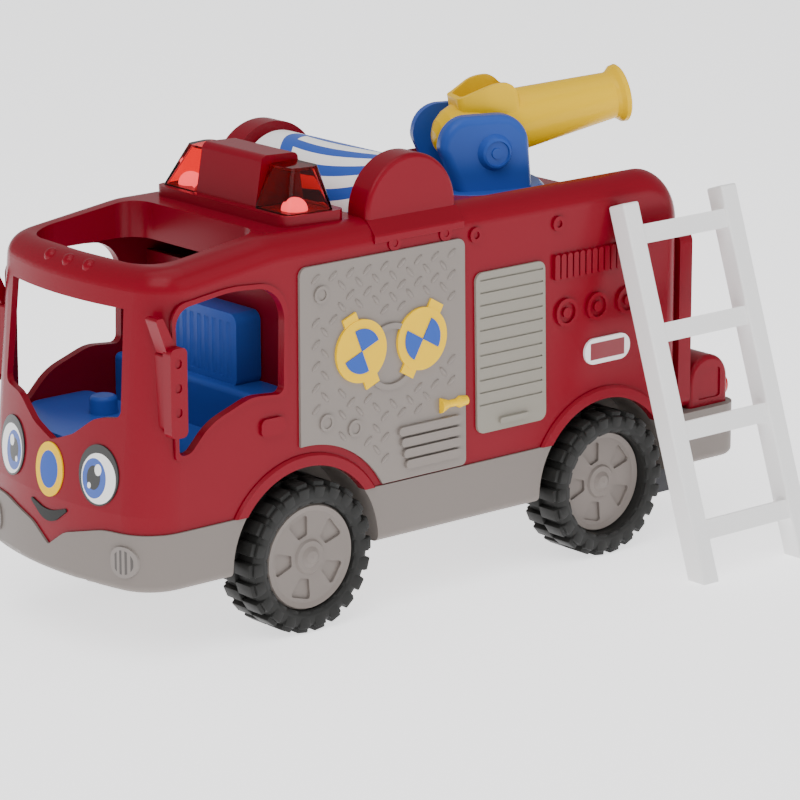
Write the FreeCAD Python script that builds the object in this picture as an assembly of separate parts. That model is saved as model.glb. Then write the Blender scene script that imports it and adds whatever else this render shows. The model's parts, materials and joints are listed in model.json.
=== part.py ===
import FreeCAD, Part
import math
import os

# Toy fire engine, millimetres. While modelling, x = 0 is the front axle, +X points to the truck's nose,
# +Y to its left side, where the ladder leans, and z = 0 is the floor. save() then moves every piece so
# that the origin is the middle of the whole box, on the floor.

V = FreeCAD.Vector

# ---- driving dimensions ----
TYRE_RADIUS = 26.0
TYRE_FACE = 49.2            # outer face of the tyres, from the centre line
TYRE_WIDTH = 18.0
TREAD_GROOVES = 22
WHEELBASE = 133.8
HUB_RADIUS = 17.4
AXLE_RADIUS = 2.0
AXLE_FIT = 0.1              # radial running clearance of every turning shaft
ARCH_RADIUS = 30.6

NOSE_X = 70.6               # foremost point of the body, on the centre line
TAIL_X = -172.0             # rear wall of the body
BUMPER_X = -201.0           # end of the rear bumper
SIDE_Y = 45.4               # outer face of the red side walls
MIRROR_OUTER_Y = 51.0       # outermost face of the wing mirrors
SKIRT_PROUD = 0.8           # how far the grey skirt stands out from the walls
BOW_RADIUS = 140.0          # gentle curve of the nose seen from above
CORNER_RADIUS = 15.0        # front corners seen from above
RAKE = 0.092                # backward lean of the face and windscreen, mm per mm of height
RAKE_START_Z = 50.0

SKIRT_BOTTOM_Z = 24.5
SKIRT_TOP_Z = 44.0
CHIN_Z = 33.5               # lowest point of the V in the skirt's front edge
BAND_Z = 116.5              # lower edge of the roof band
WALL_SEAM_Z = 129.0         # seam under the rear rail
ROOF_FRONT_Z = 129.5
ROOF_REAR_Z = 134.5
BED_Z = 118.0
WALL = 2.4
ROOF_RADIUS = 8.0           # rounding of the roof's side and front edges
TAIL_RADIUS = 20.0          # rounding of the rails' rear ends seen from the side

DRUM_X = -49.3
DRUM_Z = 134.6
DRUM_RADIUS = 16.6
EAR_RADIUS = 19.4
EAR_INNER_Y = 32.0
EAR_OUTER_Y = 41.8
SCREW_XS = (-38.6, -60.8)   # screws through the tabs of a drum cover
SCREW_Z = 125.9

TURNTABLE_X = -112.0
TURNTABLE_RADIUS = 25.5
TURNTABLE_TOP_Z = 129.6
REST_SWIVEL = 20.0          # degrees the cannon rests turned from straight back towards the left side
PIVOT_REACH = 2.0           # the barrel's pivot lies this far from the turntable's axis, towards the muzzle
PIVOT_Z = 142.8
CANNON_TILT = 9.9           # degrees that the barrel points up at rest
CHEEK_INNER_Y = 11.7
CHEEK_OUTER_Y = 17.4
PIN_RADIUS = 2.5
SPINDLE_RADIUS = 3.0

CAB_FLOOR_Z = 63.5
BENCH_Z = 80.0
CONSOLE_Z = 69.0
SEAT_TOP_Z = 104.0
PEG_X = 37.0
PEG_Y = 15.0
PEG_RADIUS = 4.7            # free end, which a figure stands on
GUIDE_RADIUS = 4.9          # guided part, below the console's top
PEG_TRAVEL = 1.5            # how far a figure peg sinks when it is pressed
BOARD_Z = 50.0              # underside of the circuit board
SPRING_SEAT_Z = 49.6        # where the peg springs stand
PEG_BOTTOM_Z = 60.0
PEG_STOP_Z = PEG_BOTTOM_Z - PEG_TRAVEL - 0.1

LADDER_LEAN = 18.7
LADDER_LENGTH = 134.0
LADDER_LEFT_X = -189.3
LADDER_RIGHT_X = -134.7
LADDER_FOOT_Y = 96.2        # foot of the ladder's outer face
RAIL_WIDTH = 7.4
RAIL_DEPTH = 8.0
RUNG_PITCH = 34.8

ORIGIN_X = (NOSE_X + SKIRT_PROUD + BUMPER_X) / 2
ORIGIN_Y = (LADDER_FOOT_Y - MIRROR_OUTER_Y) / 2

HULLS = {}                  # body forms already made, by inset


# ---- helpers ----
def save(name, *solids):
    """Write one node: its solids, moved into the part's own frame."""
    whole = solids[0] if len(solids) == 1 else Part.makeCompound(list(solids))
    for solid in whole.Solids:
        if not solid.isValid():
            print("INVALID solid in", name)
    moved = whole.copy()
    moved.translate(V(-ORIGIN_X, -ORIGIN_Y, 0))
    moved.exportStep("parts/" + name + ".step")


def box(x0, x1, y0, y1, z0, z1):
    return Part.makeBox(x1 - x0, y1 - y0, z1 - z0, V(x0, y0, z0))


def rod_x(y, z, radius, x0, x1):
    return Part.makeCylinder(radius, x1 - x0, V(x0, y, z), V(1, 0, 0))


def rod_y(x, z, radius, y0, y1):
    return Part.makeCylinder(radius, y1 - y0, V(x, y0, z), V(0, 1, 0))


def rod_z(x, y, radius, z0, z1):
    return Part.makeCylinder(radius, z1 - z0, V(x, y, z0), V(0, 0, 1))


def rounded_edges(corners):
    """Edges of a closed outline in the XY plane; each corner is (u, v, radius)."""
    starts = []
    arcs = []
    ends = []
    count = len(corners)
    for index, (u, v, radius) in enumerate(corners):
        here = V(u, v, 0)
        before = (V(corners[index - 1][0], corners[index - 1][1], 0) - here).normalize()
        after_corner = corners[(index + 1) % count]
        after = (V(after_corner[0], after_corner[1], 0) - here).normalize()
        half = before.getAngle(after) / 2
        if radius > 0:
            reach = radius / math.tan(half)
            inward = (before + after).normalize()
            starts.append(here + before * reach)
            ends.append(here + after * reach)
            middle = here + inward * (radius / math.sin(half) - radius)
            arcs.append(Part.Arc(starts[-1], middle, ends[-1]).toShape())
        else:
            starts.append(here)
            ends.append(here)
            arcs.append(None)
    edges = []
    for index in range(count):
        if arcs[index] is not None:
            edges.append(arcs[index])
        following = starts[(index + 1) % count]
        if (following - ends[index]).Length > 1e-6:
            edges.append(Part.LineSegment(ends[index], following).toShape())
    return edges


def plate_z(corners, z0, z1):
    """Plate with its outline seen from above (x, y, corner radius)."""
    face = Part.Face(Part.Wire(rounded_edges(corners)))
    face.translate(V(0, 0, z0))
    return face.extrude(V(0, 0, z1 - z0))


def plate_y(corners, y0, y1):
    """Plate with its outline seen from the side (x, z, corner radius)."""
    face = Part.Face(Part.Wire(rounded_edges(corners)))
    face.rotate(V(0, 0, 0), V(1, 0, 0), 90)
    face.translate(V(0, y0, 0))
    return face.extrude(V(0, y1 - y0, 0))


def plate_x(corners, x0, x1):
    """Plate with its outline seen from the front (y, z, corner radius)."""
    face = Part.Face(Part.Wire(rounded_edges(corners)))
    face.rotate(V(0, 0, 0), V(1, 1, 1), 120)
    face.translate(V(x0, 0, 0))
    return face.extrude(V(x1 - x0, 0, 0))


def turned_y(profile, x, z):
    """Solid of revolution about a Y axis at (x, z); profile holds (y, radius) points."""
    points = [V(x, y, z + radius) for y, radius in profile]
    face = Part.Face(Part.makePolygon(points + [points[0]]))
    return face.revolve(V(x, 0, z), V(0, 1, 0), 360)


def turned_z(profile, x, y):
    """Solid of revolution about a Z axis at (x, y); profile holds (radius, z) points."""
    points = [V(x + radius, y, z) for radius, z in profile]
    face = Part.Face(Part.makePolygon(points + [points[0]]))
    return face.revolve(V(x, y, 0), V(0, 0, 1), 360)


def mirrored(solid):
    """The same piece on the truck's right side."""
    return solid.mirror(V(0, 0, 0), V(0, 1, 0))


def rounded_rect(u0, u1, v0, v1, radius):
    return [(u0, v0, radius), (u1, v0, radius), (u1, v1, radius), (u0, v1, radius)]


# ---- body outline ----
def plan_face(inset, z):
    """Body seen from above, drawn in by inset: bowed nose, round front corners, square tail."""
    nose = NOSE_X - inset
    half = SIDE_Y - inset
    tail = TAIL_X + inset
    bow = BOW_RADIUS - inset
    corner = CORNER_RADIUS - inset
    centre_x = nose - bow + math.sqrt((bow - corner) ** 2 - (half - corner) ** 2)
    centre = V(centre_x, half - corner, 0)
    bow_centre = V(nose - bow, 0, 0)
    outward = (centre - bow_centre).normalize()
    join = bow_centre + outward * bow
    blend = (outward + V(0, 1, 0)).normalize()
    middle = centre + blend * corner
    side_end = V(centre_x, half, 0)

    def flip(point):
        return V(point.x, -point.y, 0)

    edges = [
        Part.Arc(flip(join), V(nose, 0, 0), join).toShape(),
        Part.Arc(join, middle, side_end).toShape(),
        Part.LineSegment(side_end, V(tail, half, 0)).toShape(),
        Part.LineSegment(V(tail, half, 0), V(tail, -half, 0)).toShape(),
        Part.LineSegment(V(tail, -half, 0), flip(side_end)).toShape(),
        Part.Arc(flip(side_end), flip(middle), flip(join)).toShape(),
    ]
    face = Part.Face(Part.Wire(edges))
    face.translate(V(0, 0, z))
    return face


def hull(inset):
    """Closed outer form of the red body, drawn in by inset all over but at the bottom."""
    if inset not in HULLS:
        HULLS[inset] = make_hull(inset)
    return HULLS[inset].copy()


def make_hull(inset):
    low = plan_face(inset, CHIN_Z - 4).extrude(V(0, 0, RAKE_START_Z - CHIN_Z + 4))
    height = 100.0
    raked = plan_face(inset, RAKE_START_Z).extrude(V(-RAKE * height, 0, height))
    tail_block = box(TAIL_X + inset, TAIL_X + 40, -SIDE_Y + inset, SIDE_Y - inset, RAKE_START_Z, 150)
    solid = raked.fuse(tail_block).common(box(TAIL_X + inset, 90, -60, 60, 0, 150))
    solid = solid.fuse(low).removeSplitter()
    roof = [
        (90, 20, 0),
        (90, ROOF_FRONT_Z - inset, 0),
        (50, ROOF_FRONT_Z - inset, 60),
        (12, ROOF_REAR_Z - inset, 40),
        (TAIL_X + inset, ROOF_REAR_Z - inset, 0),
        (TAIL_X + inset, 20, 0),
    ]
    solid = solid.common(plate_y(roof, -60, 60)).removeSplitter()
    tail_edges = [edge for edge in solid.Edges if is_tail_edge(edge, inset)]
    solid = solid.makeFillet(TAIL_RADIUS - inset, tail_edges)
    rim = [edge for edge in solid.Edges if is_rim_edge(edge, inset)]
    return solid.makeFillet(ROOF_RADIUS - inset, rim)


def is_tail_edge(edge, inset):
    """The top edge of the tail, which runs across."""
    bound = edge.BoundBox
    return abs(bound.XMax - TAIL_X - inset) < 0.1 and bound.ZMin > ROOF_REAR_Z - inset - 0.1


def is_rim_edge(edge, inset):
    """The edges along both sides and round the front of the roof."""
    bound = edge.BoundBox
    if bound.ZMin < ROOF_REAR_Z - TAIL_RADIUS - 1 or bound.ZMax - bound.ZMin > TAIL_RADIUS:
        return False
    if abs(bound.YMin) < SIDE_Y - inset - 0.3 and bound.XMax < 54:
        return False
    crossing = bound.YMin < -40 and bound.YMax > 40
    if crossing:
        return False
    along_side = abs(abs(bound.YMin + bound.YMax) / 2 - SIDE_Y + inset) < 0.3
    round_front = bound.XMax > 54 and bound.ZMin > ROOF_FRONT_Z - inset - 0.2
    return along_side or round_front



# ---- shells ----
def chin_fill(top_z, bottom_z):
    """Everything below the skirt's top edge, which dips in a V under the nose."""
    outline = [
        (-60, bottom_z, 0),
        (60, bottom_z, 0),
        (60, top_z, 0),
        (27, top_z, 25),
        (9, top_z - 4.5, 12),
        (0, CHIN_Z, 1.5),
        (-9, top_z - 4.5, 12),
        (-27, top_z, 25),
        (-60, top_z, 0),
    ]
    return plate_x(outline, 40, 90).fuse(box(-230, 40, -60, 60, bottom_z, top_z))


def window_outline(grow):
    """Door window seen from the side."""
    return [
        (52.4 + grow, 117.2 + grow, 6.5),
        (30, 120.2 + grow, 50),
        (8.2 - grow, 118.4 + grow, 12),
        (9.0 - grow, 82.8 - grow, 2.5),
        (22, 84.0 - grow, 16),
        (39, 78.0 - grow, 22),
        (47.0, 69.6 - grow, 4),
        (51.6 + grow, 69.2 - grow, 1.8),
    ]


def wheel_cut(axle_x, radius):
    """Both wheel arches of one axle, as a cutter through the side walls."""
    near = rod_y(axle_x, TYRE_RADIUS, radius, 28, 60)
    return near.fuse(mirrored(near))


def roof_hole():
    """Cutter for the opening over the seats."""
    outline = [(8, -34, 9), (54, -35, 13), (56, 0, 80), (54, 35, 13), (8, 34, 9)]
    return plate_z(outline, 90, 160)


def make_body():
    """Red cab and side walls, and the red roof with its rails and rear bed."""
    outer = hull(0)
    inner = hull(WALL)
    shell = outer.cut(inner)
    roof_zone = box(5, 90, -60, 60, BAND_Z, 160).fuse(box(-230, 5, -60, 60, WALL_SEAM_Z, 160))
    window = plate_y(window_outline(0), 30, 60)
    windows = window.fuse(mirrored(window))
    bead = plate_y(window_outline(1.5), SIDE_Y, SIDE_Y + 0.8)
    shell = shell.fuse([bead, mirrored(bead)]).cut(windows)

    windscreen = plate_x([
        (-30.2, BAND_Z + 8, 0), (-31.8, 81.3, 3), (-21, 79.6, 12), (-11, 72.6, 12), (0, 68.5, 2),
        (11, 72.6, 12), (21, 79.6, 12), (31.8, 81.3, 3), (30.2, BAND_Z + 8, 0)], 54, 90)
    arches = wheel_cut(0, ARCH_RADIUS).fuse(wheel_cut(-WHEELBASE, ARCH_RADIUS))
    below = chin_fill(SKIRT_TOP_Z, 0)
    bed_hollow = plate_z(rounded_rect(TAIL_X - 30, -76, -38.5, 38.5, 10), BED_Z, 160)
    bed_form = plate_z(rounded_rect(TAIL_X - 20, -73.6, -40.9, 40.9, 12), BED_Z - WALL, 160)
    body = shell.cut(roof_zone).cut(below).cut(bed_form)
    for axle_x in (0, -WHEELBASE):
        flare = rod_y(axle_x, TYRE_RADIUS, ARCH_RADIUS + 4.2, SIDE_Y - 1, SIDE_Y + 1.3)
        flare = flare.cut(box(-230, 90, -60, 60, -20, SKIRT_TOP_Z))
        flare = flare.makeChamfer(0.8, [edge for edge in flare.Edges if outer_flare_edge(edge)])
        body = body.fuse([flare, mirrored(flare)])
    bulkhead = box(-5.0, -2.6, -SIDE_Y + WALL, SIDE_Y - WALL, 58.4, 114)
    body = body.fuse(bulkhead).cut(arches).cut(windscreen).removeSplitter()
    handle = plate_y(rounded_rect(8.5, 18.5, 69.5, 75.5, 2.2), SIDE_Y - 0.6, SIDE_Y + 1.1)
    body = body.fuse([handle, mirrored(handle)])
    for plaque in side_relief():
        body = body.fuse([plaque, mirrored(plaque)])
    save("body_shell", body)

    roof = shell.common(roof_zone)
    lip = plate_z([(5.5, -36.5, 11), (56.5, -37.5, 15), (58.5, 0, 80), (56.5, 37.5, 15), (5.5, 36.5, 11)],
                  122, 160).common(outer)
    bed = bed_form.common(outer)
    trough = rod_y(DRUM_X, DRUM_Z, DRUM_RADIUS + 3.2, -EAR_INNER_Y, EAR_INNER_Y).common(outer)
    roof = roof.fuse([lip, bed, trough])
    roof = roof.cut(bed_hollow)
    roof = roof.cut(rod_y(DRUM_X, DRUM_Z, DRUM_RADIUS + 1.2, -EAR_INNER_Y + 0.2, EAR_INNER_Y - 0.2))
    roof = roof.cut(rod_y(DRUM_X, DRUM_Z, AXLE_RADIUS + AXLE_FIT, -38.2, 38.2))
    roof = roof.cut(roof_hole()).cut(windows)
    roof = roof.fuse(light_bar_block())
    for side in (-9.8, 0.6, 11.0):
        marker = Part.makeSphere(2.7, V(0, 0, 0))
        marker.translate(V(60.2 - 0.004 * side * side, side, 126.6))
        roof = roof.fuse(marker.common(box(50, 80, side - 5, side + 5, 120, 140)))
    save("roof_shell", roof.removeSplitter())


def outer_flare_edge(edge):
    """The outer rim of a wheel arch's flare."""
    bound = edge.BoundBox
    return abs(bound.YMin - SIDE_Y - 1.3) < 0.01 and abs(bound.YMax - SIDE_Y - 1.3) < 0.01 and \
        bound.ZMax > SKIRT_TOP_Z + 5


def side_relief():
    """Moulded details of the side wall: bosses, a ribbed hose roll and three gauges."""
    parts = []
    for boss_x, boss_z in ((-74.0, 123.4), (-111.6, 121.9)):
        boss = rod_y(boss_x, boss_z, 2.7, SIDE_Y - 1, SIDE_Y + 0.9)
        parts.append(boss.cut(rod_y(boss_x, boss_z, 1.3, SIDE_Y + 0.3, SIDE_Y + 2)))
    for index in range(11):
        rib_x = -110.5 - 2.9 * index
        parts.append(plate_y(rounded_rect(rib_x - 1.1, rib_x + 1.1, 102.2, 111.2, 1.0),
                             SIDE_Y - 1, SIDE_Y + 1.4))
    for index in range(3):
        gauge_x = -115.4 - 14.4 * index
        ring = rod_y(gauge_x, 90.2, 5.0, SIDE_Y - 1, SIDE_Y + 1.2)
        ring = ring.cut(rod_y(gauge_x, 90.2, 3.7, SIDE_Y + 0.3, SIDE_Y + 3))
        parts.append(ring.fuse(rod_y(gauge_x, 90.2, 1.8, SIDE_Y - 1, SIDE_Y + 1.2)))
    return parts


def light_bar_block():
    """Raised middle of the light bar and the plinths under its lenses."""
    block = plate_y([(-2.6, 131, 0), (-6.8, 154.8, 2.5), (-21.5, 154.2, 2.0), (-25, 133, 0)], -16, 16)
    hollow = plate_y([(-5.2, 130, 0), (-9.2, 152.4, 0), (-19.6, 152.0, 0), (-22.6, 130, 0)], -13.6, 13.6)
    plinth = plate_z([(-0.5, -35.0, 4), (-0.5, 35.0, 4), (-25, 37.2, 3), (-25, -37.2, 3)], 132, 138)
    return block.fuse(plinth).cut(hollow)


def make_skirt():
    """Warm grey chassis: floor, skirt with wheel arches, axle bosses and rear bumper."""
    half = SIDE_Y + SKIRT_PROUD
    outer = plan_face(-SKIRT_PROUD, SKIRT_BOTTOM_Z).extrude(V(0, 0, 30))
    rear = plate_z(rounded_rect(BUMPER_X, TAIL_X + 20, -half, half, 8), SKIRT_BOTTOM_Z, SKIRT_BOTTOM_Z + 30)
    outer = outer.fuse(rear).removeSplitter()
    outer = outer.makeFillet(2.6, [edge for edge in outer.Edges if edge.BoundBox.ZMax < SKIRT_BOTTOM_Z + 0.1])
    outer = outer.common(chin_fill(SKIRT_TOP_Z, 0))
    hollow = plan_face(WALL, SKIRT_BOTTOM_Z + WALL).extrude(V(0, 0, 40))
    hollow = hollow.fuse(box(BUMPER_X + WALL, TAIL_X + 20, -half + WALL + 0.8, half - WALL - 0.8,
                             SKIRT_BOTTOM_Z + WALL, SKIRT_TOP_Z - WALL)).common(
                                 box(-230, 90, -60, 60, 0, 60))
    hollow = hollow.cut(box(-230, TAIL_X, -60, 60, SKIRT_TOP_Z - WALL, 60))
    skirt = outer.cut(hollow)
    for axle_x in (0, -WHEELBASE):
        well = rod_y(axle_x, TYRE_RADIUS, ARCH_RADIUS + 1.6, 26.4, SIDE_Y - WALL)
        well = well.cut(box(-230, 90, -60, 60, -20, SKIRT_BOTTOM_Z))
        for side_well in (well, mirrored(well)):
            skirt = skirt.fuse(side_well)
        near = rod_y(axle_x, TYRE_RADIUS, ARCH_RADIUS, 28, 60)
        skirt = skirt.cut(near).cut(mirrored(near))
        for boss_y in (16.0, -26.4):
            boss = rod_y(axle_x, TYRE_RADIUS, 5.0, boss_y, boss_y + 10.4)
            web = box(axle_x - 5, axle_x + 5, boss_y, boss_y + 10.4, TYRE_RADIUS - 4.2, TYRE_RADIUS)
            skirt = skirt.fuse([boss, web])
        skirt = skirt.cut(rod_y(axle_x, TYRE_RADIUS, AXLE_RADIUS + AXLE_FIT, -40, 40))
    for post_x in (-37, 17):
        for post_y in (-17, 17):
            skirt = skirt.fuse(rod_z(post_x, post_y, 2.2, SKIRT_BOTTOM_Z + 1, BOARD_Z))
    for post_y in (-PEG_Y, PEG_Y):
        post = rod_z(PEG_X, post_y, 1.9, SKIRT_BOTTOM_Z + 1, PEG_STOP_Z)
        skirt = skirt.fuse(post.fuse(rod_z(PEG_X, post_y, 5.2, SKIRT_BOTTOM_Z + 1, SPRING_SEAT_Z)))
    battery_hole = box(-95, -43, -28, 28, SKIRT_BOTTOM_Z - 1, SKIRT_BOTTOM_Z + WALL + 1)
    save("skirt_chassis", skirt.cut(battery_hole).removeSplitter())


def save_pair(name, solid):
    """A left-hand piece and its mirror image on the right, as two nodes."""
    save(name + "_left", solid)
    save(name + "_right", mirrored(solid))


def save_both(name, solids):
    """Small pieces of the left side and their mirror images, as one node."""
    save(name, *(solids + [mirrored(solid) for solid in solids]))


# ---- cab ----
def make_cab():
    """Blue insert of the cab: floor, console, bench and fluted seat back; and the two sprung pegs."""
    front = [(46, -42.4, 8), (60, -30, 8), (66, 0, 60), (60, 30, 8), (46, 42.4, 8)]
    floor = plate_z([(-2.2, -42.4, 1)] + front + [(-2.2, 42.4, 1)], CAB_FLOOR_Z - 2, CAB_FLOOR_Z)
    console = plate_z([(24, -42.4, 3)] + front + [(24, 42.4, 3)], CAB_FLOOR_Z - 2, CONSOLE_Z)
    bench = box(-2.2, 12.0, -42.4, 42.4, CAB_FLOOR_Z, BENCH_Z)
    bench = bench.makeFillet(2.0, [edge for edge in bench.Edges if is_front_top(edge, 12.0, BENCH_Z)])
    back = plate_x(rounded_rect(-20, 20, BENCH_Z - 1, SEAT_TOP_Z, 3.5), -2.2, 8.0)
    for flute in range(9):
        back = back.cut(rod_z(8.9, -16.0 + 4.0 * flute, 1.5, BENCH_Z + 2, SEAT_TOP_Z - 3.0))
    hollow = box(-0.4, 10.2, -40.0, 40.0, CAB_FLOOR_Z - 3, BENCH_Z - 1.8)
    hollow = hollow.fuse(plate_z([(25.8, -39, 2), (46, -39, 6), (62, 0, 40), (46, 39, 6), (25.8, 39, 2)],
                                 CAB_FLOOR_Z - 3, CONSOLE_Z - 1.8))
    insert = floor.fuse([console, bench, back]).common(hull(WALL + 0.4)).cut(hollow)
    for peg_y in (-PEG_Y, PEG_Y):
        insert = insert.fuse(rod_z(PEG_X, peg_y, GUIDE_RADIUS + 1.9, CAB_FLOOR_Z - 2, CONSOLE_Z))
        insert = insert.cut(rod_z(PEG_X, peg_y, GUIDE_RADIUS + AXLE_FIT, 60, 80))
    save("cab_interior", insert.removeSplitter())

    for name, peg_y in (("driver", PEG_Y), ("passenger", -PEG_Y)):
        peg = rod_z(PEG_X, peg_y, PEG_RADIUS, CONSOLE_Z, CONSOLE_Z + 6.0)
        peg = peg.makeFillet(1.4, [edge for edge in peg.Edges if edge.BoundBox.ZMin > CONSOLE_Z + 5])
        guide = rod_z(PEG_X, peg_y, GUIDE_RADIUS, PEG_BOTTOM_Z, CONSOLE_Z)
        flange = rod_z(PEG_X, peg_y, GUIDE_RADIUS + 1.4, PEG_BOTTOM_Z, CAB_FLOOR_Z - 2)
        save(name + "_peg", peg.fuse([guide, flange]).removeSplitter())


def is_front_top(edge, x, z):
    """An edge that runs across at x and z."""
    bound = edge.BoundBox
    return abs(bound.XMin - x) < 0.01 and abs(bound.XMax - x) < 0.01 and abs(bound.ZMin - z) < 0.01


def make_electronics():
    """Speaker, circuit board, switches, batteries and their cover."""
    wire = 0.45
    pitch = (PEG_BOTTOM_Z - SPRING_SEAT_Z - 2 * wire - 0.1) / 5
    for name, peg_y in (("driver", PEG_Y), ("passenger", -PEG_Y)):
        rings = [Part.makeTorus(3.3, wire, V(PEG_X, peg_y, SPRING_SEAT_Z + wire + 0.05 + pitch * turn))
                 for turn in range(6)]
        save(name + "_peg_spring", *rings)
    board = box(-40, 20, -20, 20, BOARD_Z, BOARD_Z + 1.6)
    chips = [box(-30, -18, -8, 4, 51.6, 53.4), box(-8, -2, 4, 12, 51.6, 54.0), box(6, 14, -14, -4, 51.6, 53.0)]
    save("circuit_board", board.fuse(chips))
    save("speaker", turned_z([(0, 96.0), (9, 96.0), (9, 93.0), (14, 89.0), (14, 87.2), (0, 87.2)], -22, 0))
    bracket = box(-38, -6, -16, 16, 85.2, 87.2)
    for leg_x in (-38, -8):
        for leg_y in (-16, 12):
            bracket = bracket.fuse(box(leg_x, leg_x + 2, leg_y, leg_y + 4, BOARD_Z + 1.6, 87.2))
    save("speaker_bracket", bracket.removeSplitter())
    tray = box(-95.4, -42.6, -29.4, 29.4, SKIRT_BOTTOM_Z + WALL, 46.0)
    tray = tray.cut(box(-93.9, -44.1, -27.9, 27.9, SKIRT_BOTTOM_Z, 44.5))
    save("battery_box", tray)
    cells = []
    for index in range(3):
        cell_x = -85.0 + 16.0 * index
        cell = rod_y(cell_x, 35.6, 7.1, -24.6, 24.0)
        cells.append(cell.fuse(rod_y(cell_x, 35.6, 2.7, 24.0, 25.4)))
    save("batteries", *cells)
    contacts = []
    for index in range(3):
        cell_x = -85.0 + 16.0 * index
        contacts.append(box(cell_x - 5, cell_x + 5, 26.6, 27.9, 31, 40).fuse(
            rod_y(cell_x, 35.6, 1.5, 25.5, 26.6)))
        contacts.append(box(cell_x - 5, cell_x + 5, -27.9, -26.9, 31, 40).fuse(
            rod_y(cell_x, 35.6, 3.0, -26.9, -24.7)))
    save("battery_contacts", *contacts)
    cover = box(-94.6, -43.4, -27.6, 27.6, SKIRT_BOTTOM_Z, SKIRT_BOTTOM_Z + WALL)
    for saddle_x in (-77.0, -61.0):
        cover = cover.fuse(box(saddle_x - 0.7, saddle_x + 0.7, -20, 20, SKIRT_BOTTOM_Z, 30.0))
    screw_hole = rod_z(-69, 24.5, 1.6, 20, 40)
    save("battery_cover", cover.cut(screw_hole))


# ---- side panels ----
def make_side_panels():
    """Tread-plate locker panel with its reels and nozzle, roller shutter, badge and mirror."""
    face_y = SIDE_Y
    panel = plate_y([(2.2, 123.4, 3), (2.2, 44.6, 2), (-69.4, 44.6, 2), (-68.6, 123.4, 3)],
                    face_y, face_y + 1.0)
    panel = panel.cut(rod_y(0, TYRE_RADIUS, ARCH_RADIUS + 6.9, 40, 60))
    hose = []
    for loop in range(4):
        loop_z = 49.6 + 3.9 * loop
        hose.append(plate_y(rounded_rect(-66.5, -42.0 + 1.0 * loop, loop_z - 1.5, loop_z + 1.5, 1.45),
                            face_y + 0.9, face_y + 2.2))
    ring = rod_y(-36.0, 88.0, 11.4, face_y + 0.9, face_y + 1.9).cut(
        rod_y(-36.0, 88.0, 9.4, face_y, face_y + 4))
    bolts = []
    for bolt_x, bolt_z in ((-6.5, 113.5), (-8.5, 70.0), (-20.5, 66.0)):
        bolt = rod_y(bolt_x, bolt_z, 2.9, face_y + 0.9, face_y + 1.7)
        bolts.append(bolt.cut(rod_y(bolt_x, bolt_z, 1.9, face_y + 1.3, face_y + 4)))
    panel = panel.fuse(hose + bolts + [ring]).removeSplitter()
    discs = []
    quadrants = []
    for disc_x, tab_angle in ((-22.9, 112.0), (-49.2, 60.0)):
        disc = rod_y(disc_x, 92.0, 10.7, face_y + 1.0, face_y + 2.0)
        for turn in (0, 180):
            tab = box(disc_x - 3, disc_x + 3, face_y + 1.0, face_y + 1.8, 92.0 + 9.5, 92.0 + 13.4)
            tab.rotate(V(disc_x, 0, 92.0), V(0, 1, 0), turn + tab_angle - 90)
            disc = disc.fuse(tab)
        discs.append(disc.removeSplitter())
        for turn in (0, 180):
            wedge = Part.makeCylinder(7.6, 0.3, V(disc_x, face_y + 2.0, 92.0), V(0, 1, 0), 90)
            wedge.rotate(V(disc_x, 0, 92.0), V(0, 1, 0), turn + tab_angle)
            quadrants.append(wedge)
        panel = panel.cut(rod_y(disc_x, 92.0, 10.8, face_y + 1.0, face_y + 4))
        for turn in (0, 180):
            clear = box(disc_x - 3.1, disc_x + 3.1, face_y + 1.0, face_y + 4, 92.0 + 9.5, 92.0 + 13.5)
            clear.rotate(V(disc_x, 0, 92.0), V(0, 1, 0), turn + tab_angle - 90)
            panel = panel.cut(clear)
    save_pair("tread_plate_panel", panel)
    save_both("hose_reel_discs", discs)
    save_both("reel_quadrants", quadrants)

    nozzle = turned_x([(-69.4, 0.0), (-69.4, 1.6), (-66, 2.1), (-64.5, 1.3), (-61.5, 1.3), (-58.0, 2.6),
                       (-57.4, 2.6), (-57.4, 0.0)], face_y + 1.0, 67.2)
    nozzle = nozzle.common(box(-80, -50, face_y + 1.0, face_y + 5, 60, 75))
    save_both("hose_nozzles", [nozzle])

    shutter = plate_y([(-73.6, 110.2, 3), (-74.6, 54.0, 3), (-106.0, 54.0, 3), (-105.0, 110.2, 3)],
                      face_y, face_y + 1.0)
    for slat in range(11):
        slat_z = 60.0 + 4.35 * slat
        shutter = shutter.cut(box(-104.0, -75.6, face_y + 0.55, face_y + 2, slat_z + 3.7, slat_z + 4.35))
    grip = plate_y(rounded_rect(-97.5, -84.0, 56.4, 58.4, 0.9), face_y + 0.9, face_y + 2.2)
    save_pair("roller_shutter", shutter.fuse(grip).removeSplitter())

    badge = plate_y(rounded_rect(-145.4, -124.0, 69.6, 78.8, 4.5), face_y, face_y + 0.9)
    save_both("side_badges", [badge])

    arm = plate_y([(59.2, 116.4, 0.8), (62.2, 116.4, 0.8), (57.6, 104.0, 0.8), (53.2, 104.0, 0.8)],
                  43.0, face_y + 3.4)
    mirror_head = plate_y(rounded_rect(51.6, 58.2, 77.0, 106.4, 2.0), face_y + 1.6, MIRROR_OUTER_Y)
    mirror_head = mirror_head.fuse(plate_y(rounded_rect(54.3, 57.3, 79.0, 104.0, 1.2), 40.0, face_y + 2))
    mirror = mirror_head.fuse(arm).cut(hull(0))
    mirror = max(mirror.Solids, key=lambda solid: solid.Volume)
    for notch in range(3):
        mirror = mirror.cut(plate_y(rounded_rect(53.8, 56.4, 83.9 + 8.0 * notch, 86.9 + 8.0 * notch, 1.2),
                                    face_y + 5.1, face_y + 8))
    save_pair("wing_mirror", mirror)


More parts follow.
